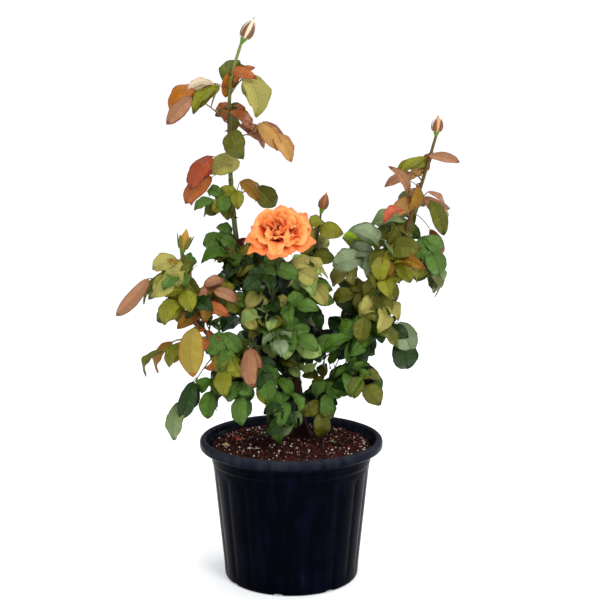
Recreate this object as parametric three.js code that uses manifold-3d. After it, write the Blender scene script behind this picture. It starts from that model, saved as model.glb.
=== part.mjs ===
// A rose bush in a black nursery pot: one crown of canes, their masses of leaves,
// one open bloom and four buds. Millimetres, +Z up. The origin is the centre of the
// pot's flat underside, -Y is the front and +X the right-hand side.
import * as THREE from 'three';
import { mergeVertices } from 'three/addons/utils/BufferGeometryUtils.js';
import Module from 'manifold-3d';

const wasm = await Module();
wasm.setup();
const { degToRad, lerp } = THREE.MathUtils;

// ---- driving dimensions ----
const gap = 0.35; // left between any two pieces that meet
const pot = {
  rimRadius: 110,
  height: 171,
  lipHeight: 12,
  lipWidth: 8.5,
  lipRound: 4, // height of the lip's rounded top
  lipEdge: 2.2, // bevel round the lip's lower edge
  collarRadius: 97,
  collarFlare: 1.2, // how much wider than that the collar is under the lip
  collarBase: 142, // height at which the collar steps in to the fluted body
  collarLine: 154, // the fine step half way up the collar
  neckStep: 2.6, // how far the body lies in from the collar
  footRadius: 81,
  footRound: 4,
  footSwell: 0.8, // how much wider the body is at the foot of its flutes
  wall: 2.6,
  floor: 4.65,
  segments: 40,
  segmentsPerFlute: 2,
  fluteDepth: 0.9,
  fluteFoot: 14,
  fluteHead: 130,
  notches: 8,
  notchWidth: 18,
  notchHeight: 3.4,
  notchDepth: 12,
  firstNotch: 0.25, // where the first notch is, as a share of the way to the next
};
const mix = { edge: 162, crest: 167, plateau: 22, shoulder: 55, clearance: 0.6, edgeWidth: 6 };

// A limb grows in legs: the length of each, its lean from upright and its heading, both in
// degrees. Headings turn from the right, 0, to the back, 90. Limbs taper from foot to tip.
const trunk = {
  foot: [12, 20],
  legs: [[15, 0, 0], [30, 12, 240], [30, 13, 240]],
  radii: [8.5, 6.5],
  flare: 6,
  flareHeight: 9,
  steps: 9,
  sides: 12,
};
const limbSides = 8;
// Each other limb starts on the limb named first, at the height given.
const limbs = {
  cane_left: {
    from: ['trunk', 232],
    legs: [[55, 44, 183], [47, 20, 177], [80, 12, 160], [75, 7, 145],
      [90, 1, 180], [38, 4, 315], [40, 20, 340]],
    radii: [5.2, 1.9],
    steps: 16,
  },
  cane_middle: {
    from: ['trunk', 234],
    legs: [[35, 36, 223], [47, 25, 233], [60, 12, 270], [45, 23, 308]],
    radii: [4.6, 2.6],
    steps: 10,
  },
  cane_right: {
    from: ['trunk', 208],
    legs: [[24, 65, 332], [20, 61, 333], [53, 39, 348], [76, 24, 353],
      [57, 18, 10], [82, 19, 13], [61, 16, 3]],
    radii: [5, 1.9],
    steps: 14,
  },
  shoot_centre: {
    from: ['trunk', 234],
    legs: [[41, 6, 135], [43, 12, 63], [79, 19, 34], [45, 12, 41]],
    radii: [3.6, 1.5],
    steps: 10,
  },
  shoot_left: {
    from: ['cane_left', 260],
    legs: [[44, 80, 214], [43, 56, 209], [50, 34, 203], [63, 9, 204]],
    radii: [3.8, 1.7],
    steps: 9,
  },
  branch_low_right: {
    from: ['cane_right', 230],
    legs: [[25, 76, 317], [22, 79, 326]],
    radii: [2.6, 1.6],
    steps: 4,
  },
};

// Each bud stands on the end of its limb, with a lean and heading of its own.
const buds = {
  bud_left: { on: 'cane_left', length: 33, lean: 28, heading: 350, width: 15 },
  bud_right: { on: 'cane_right', length: 24, lean: 7, heading: 0, width: 13 },
  bud_centre: { on: 'shoot_centre', length: 26, lean: 16, heading: 8, width: 12 },
  bud_low_left: { on: 'shoot_left', length: 32, lean: 11, heading: 0, width: 15 },
};
const bud = { steps: 6, sides: 8, fullness: 0.75 }; // less fullness puts its widest place lower
// The bloom's middle lies out, right, back and up, from the end of its limb.
const bloom = { on: 'cane_middle', out: [0, -8, 20], size: [84, 80, 34], nod: 38, swell: 0.1, seed: 5 };

// Masses of leaves, by the limb that each grows from: the level on it where the stalks
// leave, how far out, right, back and up, the middle of the mass lies from there, and its
// width, depth and height. rise turns its right-hand end up by so many degrees.
const masses = {
  cane_left: {
    foliage_left_top: { level: 600, out: [-5, -5, -5], size: [80, 60, 40], rise: -5 },
    foliage_left_top_side: { level: 585, out: [30, -15, -15], size: [25, 25, 45] },
    foliage_left_wing: { level: 555, out: [-40, -15, 15], size: [70, 40, 40], rise: 25 },
    foliage_left_shoulder: { level: 545, out: [40, 10, -15], size: [65, 40, 45], rise: -40 },
    foliage_left_high: { level: 520, out: [0, -15, -10], size: [50, 45, 60] },
    foliage_left_copper: { level: 500, out: [-35, -10, -20], size: [40, 30, 60], rise: -15 },
    foliage_left_bronze: { level: 460, out: [35, 20, 0], size: [55, 40, 30], rise: -10 },
    foliage_left_green: { level: 445, out: [-25, -5, 0], size: [45, 35, 30], rise: 10 },
    foliage_left_fork: { level: 385, out: [-15, -10, 5], size: [50, 35, 30] },
    foliage_left_dark: { level: 370, out: [15, 15, 0], size: [40, 50, 35] },
    foliage_shoot_inner: { level: 340, out: [-25, -45, 0], size: [50, 45, 50] },
    foliage_back_top: { level: 545, out: [0, 40, 0], size: [40, 40, 55] },
    foliage_back_middle: { level: 290, out: [20, 60, 10], size: [125, 50, 65] },
  },
  shoot_left: {
    foliage_shoot_top: { level: 390, out: [5, -10, 0], size: [40, 35, 20], rise: 15 },
    foliage_shoot_tip: { level: 370, out: [-45, 0, -20], size: [75, 30, 30], rise: 40 },
    foliage_shoot_olive: { level: 350, out: [-10, -20, -5], size: [50, 40, 60] },
    foliage_shoot_big: { level: 320, out: [5, -40, -20], size: [40, 25, 60] },
    foliage_shoot_low: { level: 300, out: [-50, -25, -20], size: [70, 30, 25], rise: 25 },
    foliage_side_olive: { level: 280, out: [0, -25, -20], size: [35, 35, 40] },
    foliage_side_pink: { level: 270, out: [15, -40, -10], size: [30, 20, 45] },
    foliage_skirt_left: { level: 270, out: [-15, -25, -50], size: [45, 45, 40], rise: -10 },
    foliage_skirt_tail: { level: 270, out: [-60, -25, -60], size: [75, 20, 20], rise: 55 },
  },
  cane_middle: {
    foliage_under_bloom: { level: 370, out: [15, 15, 0], size: [60, 50, 40] },
    foliage_middle_left: { level: 320, out: [5, 0, 0], size: [45, 45, 45] },
    foliage_middle: { level: 300, out: [45, -10, -10], size: [80, 45, 40] },
    foliage_foot_front: { level: 265, out: [-10, -45, -45], size: [60, 45, 90] },
  },
  shoot_centre: {
    foliage_middle_top: { level: 400, out: [10, 0, 0], size: [50, 45, 40] },
    foliage_middle_right: { level: 350, out: [15, -25, 0], size: [35, 45, 45] },
    foliage_heart: { level: 270, out: [10, 20, 0], size: [95, 60, 60], fine: true },
  },
  cane_right: {
    foliage_shoulder_pale: { level: 405, out: [-50, 40, 0], size: [55, 20, 20], rise: 10 },
    foliage_right_inner: { level: 330, out: [-40, 25, 20], size: [40, 45, 70] },
    foliage_right_top: { level: 500, out: [-10, 0, -5], size: [75, 40, 35], rise: 10 },
    foliage_right_red: { level: 455, out: [-10, -5, -5], size: [60, 45, 35] },
    foliage_right_tail: { level: 450, out: [30, 15, -20], size: [25, 30, 80], rise: 5 },
    foliage_right_wing: { level: 425, out: [-35, 5, 0], size: [45, 40, 40] },
    foliage_right_middle: { level: 390, out: [10, -10, 0], size: [45, 50, 60] },
    foliage_right_hang: { level: 385, out: [45, 10, -20], size: [30, 25, 50] },
    foliage_right_low: { level: 325, out: [5, -15, -5], size: [40, 40, 75] },
    foliage_right_tip: { level: 320, out: [40, 15, -40], size: [25, 20, 50] },
    foliage_back_right: { level: 290, out: [-5, 60, 0], size: [55, 50, 55] },
    foliage_back_far: { level: 420, out: [5, 50, 0], size: [45, 40, 55] },
  },
  branch_low_right: {
    foliage_skirt_right: { level: 240, out: [0, -5, 0], size: [55, 50, 50] },
  },
  trunk: {
    foliage_skirt_foot: { level: 210, out: [25, -30, -5], size: [35, 35, 40] },
  },
};
const lumpiness = 0.16; // how far a mass of leaves swells and dips, as a share of its radius
const lumpWaves = [2.2, 3.5, 4.8]; // radians of each wave of lumps from a ball's middle to its skin
const goldenAngle = 2.4; // radians: directions turned by it never line up

const finishes = {
  plastic: { color: '#14161b', roughness: 0.38, metalness: 0 },
  mix: { color: '#3b1c14', roughness: 0.95, metalness: 0 },
  bark: { color: '#4a3a26', roughness: 0.75, metalness: 0 },
  leaf: { color: '#52682f', roughness: 0.6, metalness: 0 },
  petal: { color: '#ff7a3c', roughness: 0.6, metalness: 0 },
  bud: { color: '#c98f5a', roughness: 0.6, metalness: 0 },
};

const group = new THREE.Group();
const taken = []; // room that earlier pieces claim, each a little larger than its piece

// ---- solids ----
// A closed geometry becomes a solid once its shared corners are merged.
function solidOf(geometry) {
  geometry.deleteAttribute('normal');
  geometry.deleteAttribute('uv');
  const merged = mergeVertices(geometry, 1e-4);
  const corners = merged.index.array;
  const kept = [];
  for (let i = 0; i < corners.length; i += 3) {
    const [a, b, c] = corners.slice(i, i + 3);
    if (a !== b && b !== c && c !== a) kept.push(a, b, c);
  }
  return new wasm.Manifold(new wasm.Mesh({
    numProp: 3,
    vertProperties: new Float32Array(merged.attributes.position.array),
    triVerts: new Uint32Array(kept),
  }));
}

function geometryOf(solid) {
  const mesh = solid.getMesh();
  const geometry = new THREE.BufferGeometry();
  geometry.setAttribute('position', new THREE.BufferAttribute(mesh.vertProperties, 3));
  geometry.setIndex(new THREE.BufferAttribute(mesh.triVerts, 1));
  geometry.computeVertexNormals();
  return geometry;
}

function largestPart(solid) {
  return solid.decompose().reduce((best, part) => (part.volume() > best.volume() ? part : best));
}

function addMesh(name, geometry, finish) {
  const mesh = new THREE.Mesh(geometry, new THREE.MeshStandardMaterial(finish));
  mesh.name = name;
  group.add(mesh);
}

// shape(grow) returns the piece's closed geometry, swollen by grow. The piece is cut
// clear of what is already there, and then claims its own room.
function addPiece(name, shape, finish) {
  const cut = taken.reduce((solid, room) => solid.subtract(room), solidOf(shape(0)));
  addMesh(name, geometryOf(largestPart(cut)), finish);
  taken.push(solidOf(shape(gap)));
}

// ---- pot and potting mix ----
// The pot is its floor disc, its wall, which is a ring in two halves, and its lip.
// A ring's outline runs up its outside and down its inside, and ends where it began.
const neck = pot.collarRadius - pot.neckStep;
const collarTop = pot.collarRadius + pot.collarFlare;
const lipFoot = pot.height - pot.lipHeight;

// the body's outer radius at a height on its flutes
function bodyRadius(z) {
  const share = (z - pot.fluteFoot) / (pot.fluteHead - pot.fluteFoot);
  return lerp(pot.footRadius + pot.footSwell, neck - pot.fluteDepth, share);
}

function wallOutline() {
  const { collarRadius, collarBase, collarLine, collarFlare, footRadius, wall } = pot;
  const foot = pot.floor + gap;
  return [
    [footRadius, foot], [bodyRadius(pot.fluteFoot), pot.fluteFoot],
    [bodyRadius(pot.fluteHead), pot.fluteHead], [neck, collarBase],
    [collarRadius - collarFlare, collarBase + collarFlare], [collarRadius - collarFlare / 2, collarLine],
    [collarRadius + collarFlare / 2, collarLine + collarFlare], [collarTop, lipFoot],
    [collarTop - wall, lipFoot], [neck - wall, collarBase], [footRadius - wall, foot], [footRadius, foot],
  ];
}

// The lip's top is half an ellipse.
function lipOutline() {
  const { rimRadius, height, lipWidth, lipRound, lipEdge } = pot;
  const foot = lipFoot + gap;
  const steps = 4;
  const top = Array.from({ length: steps + 1 }, (_, i) => {
    const angle = (Math.PI * i) / steps;
    const radius = rimRadius - (lipWidth / 2) * (1 - Math.cos(angle));
    return [radius, height - lipRound * (1 - Math.sin(angle))];
  });
  const inner = collarTop - pot.wall;
  return [[inner, foot], [rimRadius - lipEdge, foot], [rimRadius, foot + lipEdge], ...top, [inner, foot]];
}

function turned(profile, segments) {
  const points = profile.map(([r, z]) => new THREE.Vector2(r, z));
  const geometry = new THREE.LatheGeometry(points, segments);
  geometry.rotateX(Math.PI / 2);
  return geometry;
}

// The body's flutes: every second line of the outer wall is drawn in.
function flute(geometry) {
  const place = geometry.attributes.position;
  const step = (2 * Math.PI * pot.segmentsPerFlute) / pot.segments;
  const slack = 0.5; // mm and share of a step by which a point may miss its line
  for (let i = 0; i < place.count; i += 1) {
    const [x, y, z] = [place.getX(i), place.getY(i), place.getZ(i)];
    const radius = Math.hypot(x, y);
    const turns = Math.atan2(y, x) / step;
    const onBody = z > pot.fluteFoot - slack && z < pot.fluteHead + slack && radius > bodyRadius(z) - slack;
    if (onBody && Math.abs(turns - Math.round(turns)) < slack / 2) {
      const scale = (radius - pot.fluteDepth) / radius;
      place.setXY(i, x * scale, y * scale);
    }
  }
  return geometry;
}

function addPot() {
  const { footRadius, footRound, floor } = pot;
  const base = [
    [0, 0], [footRadius - footRound, 0], [footRadius, footRound], [footRadius, floor], [0, floor],
  ];
  let disc = solidOf(turned(base, pot.segments));
  for (let i = 0; i < pot.notches; i += 1) {
    const notch = new THREE.BoxGeometry(pot.notchDepth, pot.notchWidth, 2 * pot.notchHeight);
    notch.translate(footRadius, 0, 0);
    notch.rotateZ((2 * Math.PI * (i + pot.firstNotch)) / pot.notches);
    disc = disc.subtract(solidOf(notch));
  }
  const wall = solidOf(flute(turned(wallOutline(), pot.segments)));
  addMesh('pot_floor', geometryOf(disc), finishes.plastic);
  addMesh('pot_wall_front', geometryOf(wall.trimByPlane([0, -1, 0], gap / 2)), finishes.plastic);
  addMesh('pot_wall_back', geometryOf(wall.trimByPlane([0, 1, 0], gap / 2)), finishes.plastic);
  addMesh('pot_lip', geometryOf(solidOf(turned(lipOutline(), pot.segments))), finishes.plastic);
}

// The potting mix fills the pot, clear of its wall, and its top is a low mound.
function addPottingMix() {
  const inset = pot.wall + mix.clearance;
  const edge = collarTop - inset;
  const foot = pot.floor + mix.clearance;
  const profile = [
    [0, foot], [pot.footRadius - inset, foot], [neck - inset, pot.collarBase],
    [edge, mix.edge - mix.edgeWidth / 2], [edge - mix.edgeWidth, mix.edge],
    [mix.shoulder, (mix.edge + mix.crest) / 2], [mix.plateau, mix.crest], [0, mix.crest],
  ];
  addMesh('potting_mix', turned(profile, pot.segments), finishes.mix);
}

// ---- limbs ----
const curves = {}; // every limb's middle line

// one leg as a vector
function legVector([length, lean, heading]) {
  const polar = new THREE.Vector3().setFromSphericalCoords(length, degToRad(lean), degToRad(heading));
  return new THREE.Vector3(polar.z, polar.x, polar.y);
}

function curveOf(start, legs) {
  const places = [start];
  legs.forEach((leg) => places.push(places.at(-1).clone().add(legVector(leg))));
  return new THREE.CatmullRomCurve3(places);
}

// the place on a limb that is nearest to a height
function placeAt(limb, height) {
  const miss = (place) => Math.abs(place.z - height);
  return curves[limb].getSpacedPoints(200).reduce((best, place) => (miss(place) < miss(best) ? place : best));
}

// A closed limb: rings of even sides along the route, fans at both ends. radius(t) is
// its radius at the share t of its length.
function limbGeometry(curve, radius, steps, sides, grow, levelFoot) {
  const frames = curve.computeFrenetFrames(steps, false);
  const places = [];
  const corners = [];
  for (let i = 0; i <= steps; i += 1) {
    const centre = curve.getPointAt(i / steps);
    if (grow && i === 0) centre.addScaledVector(frames.tangents[0], -grow);
    if (grow && i === steps) centre.addScaledVector(frames.tangents[steps], grow);
    for (let j = 0; j < sides; j += 1) {
      const angle = (2 * Math.PI * j) / sides;
      const r = (radius(i / steps) + grow) / Math.cos(grow ? Math.PI / sides : 0);
      const spoke = new THREE.Vector3()
        .addScaledVector(frames.normals[i], r * Math.cos(angle))
        .addScaledVector(frames.binormals[i], r * Math.sin(angle));
      if (levelFoot && i === 0) spoke.z = 0;
      places.push(...centre.clone().add(spoke).toArray());
    }
  }
  for (let i = 0; i < steps; i += 1) {
    for (let j = 0; j < sides; j += 1) {
      const [a, b] = [i * sides + j, i * sides + ((j + 1) % sides)];
      corners.push(a, b, b + sides, a, b + sides, a + sides);
    }
  }
  const top = steps * sides;
  for (let j = 1; j < sides - 1; j += 1) {
    corners.push(0, j + 1, j, top, top + j, top + j + 1);
  }
  const geometry = new THREE.BufferGeometry();
  geometry.setAttribute('position', new THREE.Float32BufferAttribute(places, 3));
  geometry.setIndex(corners);
  return geometry;
}

function addTrunk() {
  const foot = new THREE.Vector3(...trunk.foot, mix.crest + gap);
  const curve = curveOf(foot, trunk.legs);
  const length = curve.getLength();
  const radius = (t) => lerp(...trunk.radii, t) + trunk.flare * Math.exp((-t * length) / trunk.flareHeight);
  const shape = (grow) => limbGeometry(curve, radius, trunk.steps, trunk.sides, grow, true);
  curves.trunk = curve;
  addPiece('trunk', shape, finishes.bark);
}

function addLimb(name) {
  const { from, legs, radii, steps } = limbs[name];
  const curve = curveOf(placeAt(...from), legs);
  const radius = (t) => lerp(...radii, t);
  const shape = (grow) => limbGeometry(curve, radius, steps, limbSides, grow, false);
  curves[name] = curve;
  addPiece(name, shape, finishes.bark);
}

// ---- buds and bloom ----
// A bud's outline: its radius is half its width times the sine of its height, drawn low.
function addBud(name) {
  const { on, length, lean, heading, width } = buds[name];
  const shape = (grow) => {
    const points = Array.from({ length: bud.steps + 1 }, (_, i) => {
      const share = i / bud.steps;
      const atEnd = i === 0 || i === bud.steps;
      const radius = atEnd ? 0 : (width / 2) * Math.sin(Math.PI * share ** bud.fullness) + grow;
      return [radius, lerp(gap - grow, length + grow, share)];
    });
    const geometry = turned(points, bud.sides);
    const axis = legVector([1, lean, heading]);
    geometry.applyQuaternion(new THREE.Quaternion().setFromUnitVectors(new THREE.Vector3(0, 0, 1), axis));
    geometry.translate(...curves[on].getPoint(1).toArray());
    return geometry;
  };
  addPiece(name, shape, finishes.bud);
}

// An uneven ball: a sphere of many faces whose radius swells and dips in broad waves.
function unevenBall(detail, swell, seed) {
  const ball = new THREE.IcosahedronGeometry(1, detail);
  ball.deleteAttribute('normal');
  ball.deleteAttribute('uv');
  const geometry = mergeVertices(ball, 1e-4);
  const place = geometry.attributes.position;
  const waves = lumpWaves.map((radians, k) => new THREE.Vector3()
    .setFromSphericalCoords(radians, goldenAngle * (seed + k), goldenAngle * seed * (k + 1)));
  const point = new THREE.Vector3();
  for (let i = 0; i < place.count; i += 1) {
    point.fromBufferAttribute(place, i);
    const sum = waves.reduce((total, wave) => total + Math.sin(point.dot(wave) + seed), 0);
    point.multiplyScalar(1 + (swell * sum) / waves.length);
    place.setXYZ(i, point.x, point.y, point.z);
  }
  return geometry;
}

function addBloom() {
  const middle = curves[bloom.on].getPoint(1).add(new THREE.Vector3(...bloom.out));
  const shape = (grow) => {
    const geometry = unevenBall(2, bloom.swell, bloom.seed);
    geometry.scale(...bloom.size.map((side) => side / 2 + grow));
    geometry.rotateX(degToRad(bloom.nod));
    geometry.translate(...middle.toArray());
    return geometry;
  };
  addPiece('bloom', shape, finishes.petal);
}

function addMass(name, limb, { level, out, size, rise = 0, fine = false }, seed) {
  const middle = placeAt(limb, level).clone().add(new THREE.Vector3(...out));
  const shape = (grow) => {
    const geometry = unevenBall(fine ? 2 : 1, lumpiness, seed);
    geometry.scale(...size.map((side) => side / 2 + 2 * grow));
    geometry.rotateY(degToRad(-rise));
    geometry.translate(...middle.toArray());
    return geometry;
  };
  addPiece(name, shape, finishes.leaf);
}

addPot();
addPottingMix();
addTrunk();
Object.keys(limbs).forEach(addLimb);
Object.keys(buds).forEach(addBud);
addBloom();
let seed = 0;
Object.entries(masses).forEach(([limb, grown]) => {
  Object.entries(grown).forEach(([name, mass]) => {
    addMass(name, limb, mass, seed);
    seed += 1;
  });
});

export default group;
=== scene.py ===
import math
import bpy
import bmesh
import numpy as np
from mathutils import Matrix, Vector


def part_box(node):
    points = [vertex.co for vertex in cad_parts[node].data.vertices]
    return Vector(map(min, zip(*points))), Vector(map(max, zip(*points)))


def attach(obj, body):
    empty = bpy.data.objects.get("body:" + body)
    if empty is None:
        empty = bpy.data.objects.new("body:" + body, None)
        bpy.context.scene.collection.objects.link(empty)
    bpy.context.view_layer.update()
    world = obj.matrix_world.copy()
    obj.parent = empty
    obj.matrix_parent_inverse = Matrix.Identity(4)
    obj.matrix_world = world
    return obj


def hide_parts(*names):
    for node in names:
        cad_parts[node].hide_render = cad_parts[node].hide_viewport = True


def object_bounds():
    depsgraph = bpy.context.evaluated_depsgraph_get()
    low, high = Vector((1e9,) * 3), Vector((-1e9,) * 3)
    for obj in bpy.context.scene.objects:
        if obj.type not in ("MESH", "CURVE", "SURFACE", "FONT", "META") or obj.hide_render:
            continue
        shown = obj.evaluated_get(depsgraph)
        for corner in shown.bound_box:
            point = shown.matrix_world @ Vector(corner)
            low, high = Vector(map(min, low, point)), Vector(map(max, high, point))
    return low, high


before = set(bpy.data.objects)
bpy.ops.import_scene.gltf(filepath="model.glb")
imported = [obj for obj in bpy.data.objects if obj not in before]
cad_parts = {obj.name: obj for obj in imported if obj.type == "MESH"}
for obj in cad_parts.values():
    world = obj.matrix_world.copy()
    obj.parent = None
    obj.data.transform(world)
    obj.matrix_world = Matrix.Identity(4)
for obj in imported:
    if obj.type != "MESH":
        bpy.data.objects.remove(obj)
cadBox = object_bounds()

# A rose bush in its nursery pot. Lengths are in millimetres and meshes are made in metres.
# The pot stands on z = 0 with its middle over the origin, and -Y is the front.
mm = 0.001


def linear(hexColour):
    # an sRGB hex colour as the linear colour that shaders take
    c = np.array([int(hexColour[i:i + 2], 16) for i in (1, 3, 5)]) / 255
    return (*np.where(c > 0.04045, ((c + 0.055) / 1.055) ** 2.4, c / 12.92), 1.0)


def setInputs(node, inputs):
    # an input is a plain value, an output of another node, or a node, for its first output
    for key, value in inputs.items():
        if isinstance(value, bpy.types.Node):
            value = value.outputs[0]
        if isinstance(value, bpy.types.NodeSocket):
            node.id_data.links.new(value, node.inputs[key])
        else:
            node.inputs[key].default_value = value


def addNode(tree, kind, inputs=None, stops=(), **settings):
    # One node with its settings and links. Stops are the (place, hex) pairs of a colour ramp;
    # inputs 1 to 4 of a MapRange are the two ends that it takes and the two that it gives.
    node = tree.nodes.new(f"ShaderNode{kind}")
    for key, value in settings.items():
        setattr(node, key, value)
    setInputs(node, inputs or {})
    if stops:
        elements = node.color_ramp.elements
        while len(elements) < len(stops):
            elements.new(1.0)
        for element, (place, colour) in zip(elements, stops):
            element.position, element.color = place, linear(colour)
    return node


def newMaterial(name, colour, roughness, ior=1.45, specular=0.5):
    # a material, with its tree, its shader and the piece's own coordinates
    material = bpy.data.materials.new(name)
    material.use_nodes = True
    tree = material.node_tree
    shader = tree.nodes["Principled BSDF"]
    setInputs(shader, {"Base Color": linear(colour), "Roughness": roughness, "IOR": ior,
                       "Specular IOR Level": specular})
    return material, tree, shader, addNode(tree, "TexCoord").outputs["Object"]


def addGrain(tree, shader, place, size, strength, depth, detail=2.0):
    # bumps from noise, with grains size mm across and depth mm high
    noise = addNode(tree, "TexNoise", {"Vector": place, "Scale": 1 / (size * mm), "Detail": detail})
    bump = addNode(tree, "Bump", {"Strength": strength, "Distance": depth * mm, "Height": noise})
    setInputs(shader, {"Normal": bump})
    return noise


def grainyMaterial(name, colour, roughness, ior, specular, *grain):
    # a plain colour under a fine grain: its size in mm, its strength and its depth in mm
    material, tree, shader, place = newMaterial(name, colour, roughness, ior, specular)
    addGrain(tree, shader, place, *grain)
    return material


def skinMaterial(name, colour, roughness):
    # living plant skin, matt, with a faint grain
    return grainyMaterial(name, colour, roughness, 1.42, 0.35, 1.5, 0.4, 0.3)


def addThing(name, data):
    # an object of this name in the scene
    thing = bpy.data.objects.new(name, data)
    bpy.context.scene.collection.objects.link(thing)
    return thing


def addMesh(name, slot, points, faces, materials, uvs=None, deal=None, smooth=True, weld=True):
    # points (..., 3) in mm, faces (m, 3 or 4), uvs {name: (loops, 2)}, deal (m,) material numbers
    mesh = bpy.data.meshes.new(name)
    faces = np.asarray(faces, np.int32)
    starts = np.arange(0, faces.size, faces.shape[1], dtype=np.int32)
    mesh.vertices.add(points.size // 3)
    mesh.vertices.foreach_set("co", (points * mm).ravel())
    mesh.loops.add(faces.size)
    mesh.loops.foreach_set("vertex_index", faces.ravel())
    mesh.polygons.add(len(faces))
    mesh.polygons.foreach_set("loop_start", starts)
    mesh.polygons.foreach_set("use_smooth", np.full(len(faces), smooth))
    for material in materials:
        mesh.materials.append(material)
    if deal is not None:
        mesh.polygons.foreach_set("material_index", np.asarray(deal, np.int32).ravel())
    for key, values in (uvs or {}).items():
        mesh.uv_layers.new(name=key).data.foreach_set("uv", np.asarray(values, float).ravel())
    mesh.update(calc_edges=True)
    if weld:  # closes the poles, where a whole ring of points falls on one spot
        whole = bmesh.new()
        whole.from_mesh(mesh)
        bmesh.ops.remove_doubles(whole, verts=whole.verts, dist=1e-6)
        whole.to_mesh(mesh)
        whole.free()
    piece = addThing(name, mesh)
    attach(piece, "root")
    return piece


def joinParts(parts):
    # (grid of points, faces) pairs as one array of points and one of faces
    starts = np.cumsum([0] + [grid.size // 3 for grid, faces in parts])
    points = np.vstack([grid.reshape(-1, 3) for grid, faces in parts])
    return points, np.vstack([faces + start for (grid, faces), start in zip(parts, starts)])


def ringAngles(count):
    # even steps round a whole turn, from 0
    return np.arange(count) * 2 * np.pi / count


def flatWay(angle):
    # the level unit vector at an angle, 0 to the right and a quarter turn to the back
    return np.stack([np.cos(angle), np.sin(angle), 0 * angle], -1)


def gridFaces(rows, columns, ring=False, copies=1):
    # quads of grids with rows x columns of points; a ring joins its last column to its first
    across = np.arange(columns if ring else columns - 1)
    i, j = np.meshgrid(np.arange(rows - 1) * columns, across, indexing="ij")
    k = (j + 1) % columns
    one = np.stack([i + j, i + k, i + columns + k, i + columns + j], -1).reshape(-1, 4)
    return (one + (np.arange(copies) * rows * columns)[:, None, None]).reshape(-1, 4)


def gridLoops(across, along):
    # the (u, v) of each face corner of a grid, u from its columns and v from its rows
    u, v = np.meshgrid(across, along)
    low, high = slice(None, -1), slice(1, None)
    corners = [(low, low), (low, high), (high, high), (high, low)]
    return np.stack([np.stack([u[c], v[c]], -1) for c in corners], 2).reshape(-1, 2)


def sheetLoops(own, copies, margin=0.05):
    # one copy's own loops, set for each copy into its cell of a square sheet
    across = math.ceil(math.sqrt(copies))
    cells = np.array([across, math.ceil(copies / across)])
    cell = np.stack([np.arange(copies) % across, np.arange(copies) // across], -1)[:, None]
    return ((cell + own[None] * (1 - 2 * margin) + margin) / cells).reshape(-1, 2)


def unit(vectors):
    return vectors / np.maximum(np.linalg.norm(vectors, axis=-1, keepdims=True), 1e-9)


def square(vectors, along):
    # the unit part of the vectors that is square to the unit vectors along
    return unit(vectors - (vectors * along).sum(-1, keepdims=True) * along)


def nodePoints(name):
    # the corner points of a CAD node, each once, in mm
    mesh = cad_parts[name].data
    points = np.empty(3 * len(mesh.vertices))
    mesh.vertices.foreach_get("co", points)
    return np.unique((points.reshape(-1, 3) / mm).round(1), axis=0)


def boxOf(name):
    low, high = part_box(name)
    return np.array(low) / mm, np.array(high) / mm


def longestWay(points):
    # the direction in which the points spread most, upwards, and how round they are: the
    # second spread as a share of the first
    spread, axes = np.linalg.svd(points - points.mean(axis=0), full_matrices=False)[1:]
    return axes[0] * (np.sign(axes[0][2]) or 1), spread[1] / spread[0]


def limbLine(name, window, count=300):
    # A limb's middle line, worked out from its CAD node: at each place along its longest
    # direction a straight line is fitted to the corner points near by, weighted by a bell
    # curve. It starts a little inside the limb below.
    points = nodePoints(name)
    axis = longestWay(points)[0]
    t = points @ axis
    off = t - np.linspace(t.min(), t.max(), count)[:, None]
    weight = np.exp(-(off / window) ** 2)
    s0, s1, s2 = (np.sum(weight * off ** n, axis=1)[:, None] for n in range(3))
    line = (s2 * (weight @ points) - s1 * ((weight * off) @ points)) / (s0 * s2 - s1 ** 2)
    return np.vstack([line[0] - 8 * unit(line[9] - line[0]), line])


def evenSteps(line, count):
    # the line again, in count even steps of its length
    run = np.concatenate([[0], np.cumsum(np.linalg.norm(np.diff(line, axis=0), axis=1))])
    even = np.linspace(0, run[-1], count)
    return np.stack([np.interp(even, run, line[:, n]) for n in range(3)], -1)


def tubeGrid(paths, radii, sides, swell=1.0):
    # rings round paths (..., k, 3): point = path + radius * (cos a * first + sin a * second),
    # with first and second square to the path; each end closes on one point
    along = unit(np.gradient(paths, axis=-2))
    upright = np.abs(along[..., :1, 1:2]) < 0.8
    rough = np.where(upright, np.array([0.0, 1, 0]), np.array([1.0, 0, 0]))
    first = square(np.broadcast_to(rough, along.shape), along)[..., None, :]
    second = np.cross(along[..., None, :], first)
    a = ringAngles(sides)[:, None]
    radii = (np.asarray(radii, float)[..., None] * swell)[..., None]
    grid = paths[..., None, :] + radii * (np.cos(a) * first + np.sin(a) * second)
    shut = np.ones((sides, 1))
    ends = paths[..., :1, None, :] * shut, paths[..., -1:, None, :] * shut
    return np.concatenate([ends[0], grid, ends[1]], axis=-3)


rimBox, footBox, mixBox = boxOf("pot_lip"), boxOf("pot_floor"), boxOf("potting_mix")
pot = {
    "rim": rimBox[1][0], "height": rimBox[1][2], "foot": footBox[1][0],
    "collar": 97, "collarBase": 142, "wall": 2.6, "lip": 12,  # the wall's thickness, the lip's height
    "flutes": 20, "fluteDepth": 0.9, "notches": 8, "notchWidth": 13, "notchHeight": 3, "around": 480,
    "black": "#010209", "haze": "#050819", "dust": "#2c2f37", "roughness": 0.24,
    # mm across a dust streak and along it, across a cloud of dust, and a grain of the moulded skin
    "streak": 9, "streakLength": 126, "cloud": 30, "grain": 1.2,
}


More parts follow.
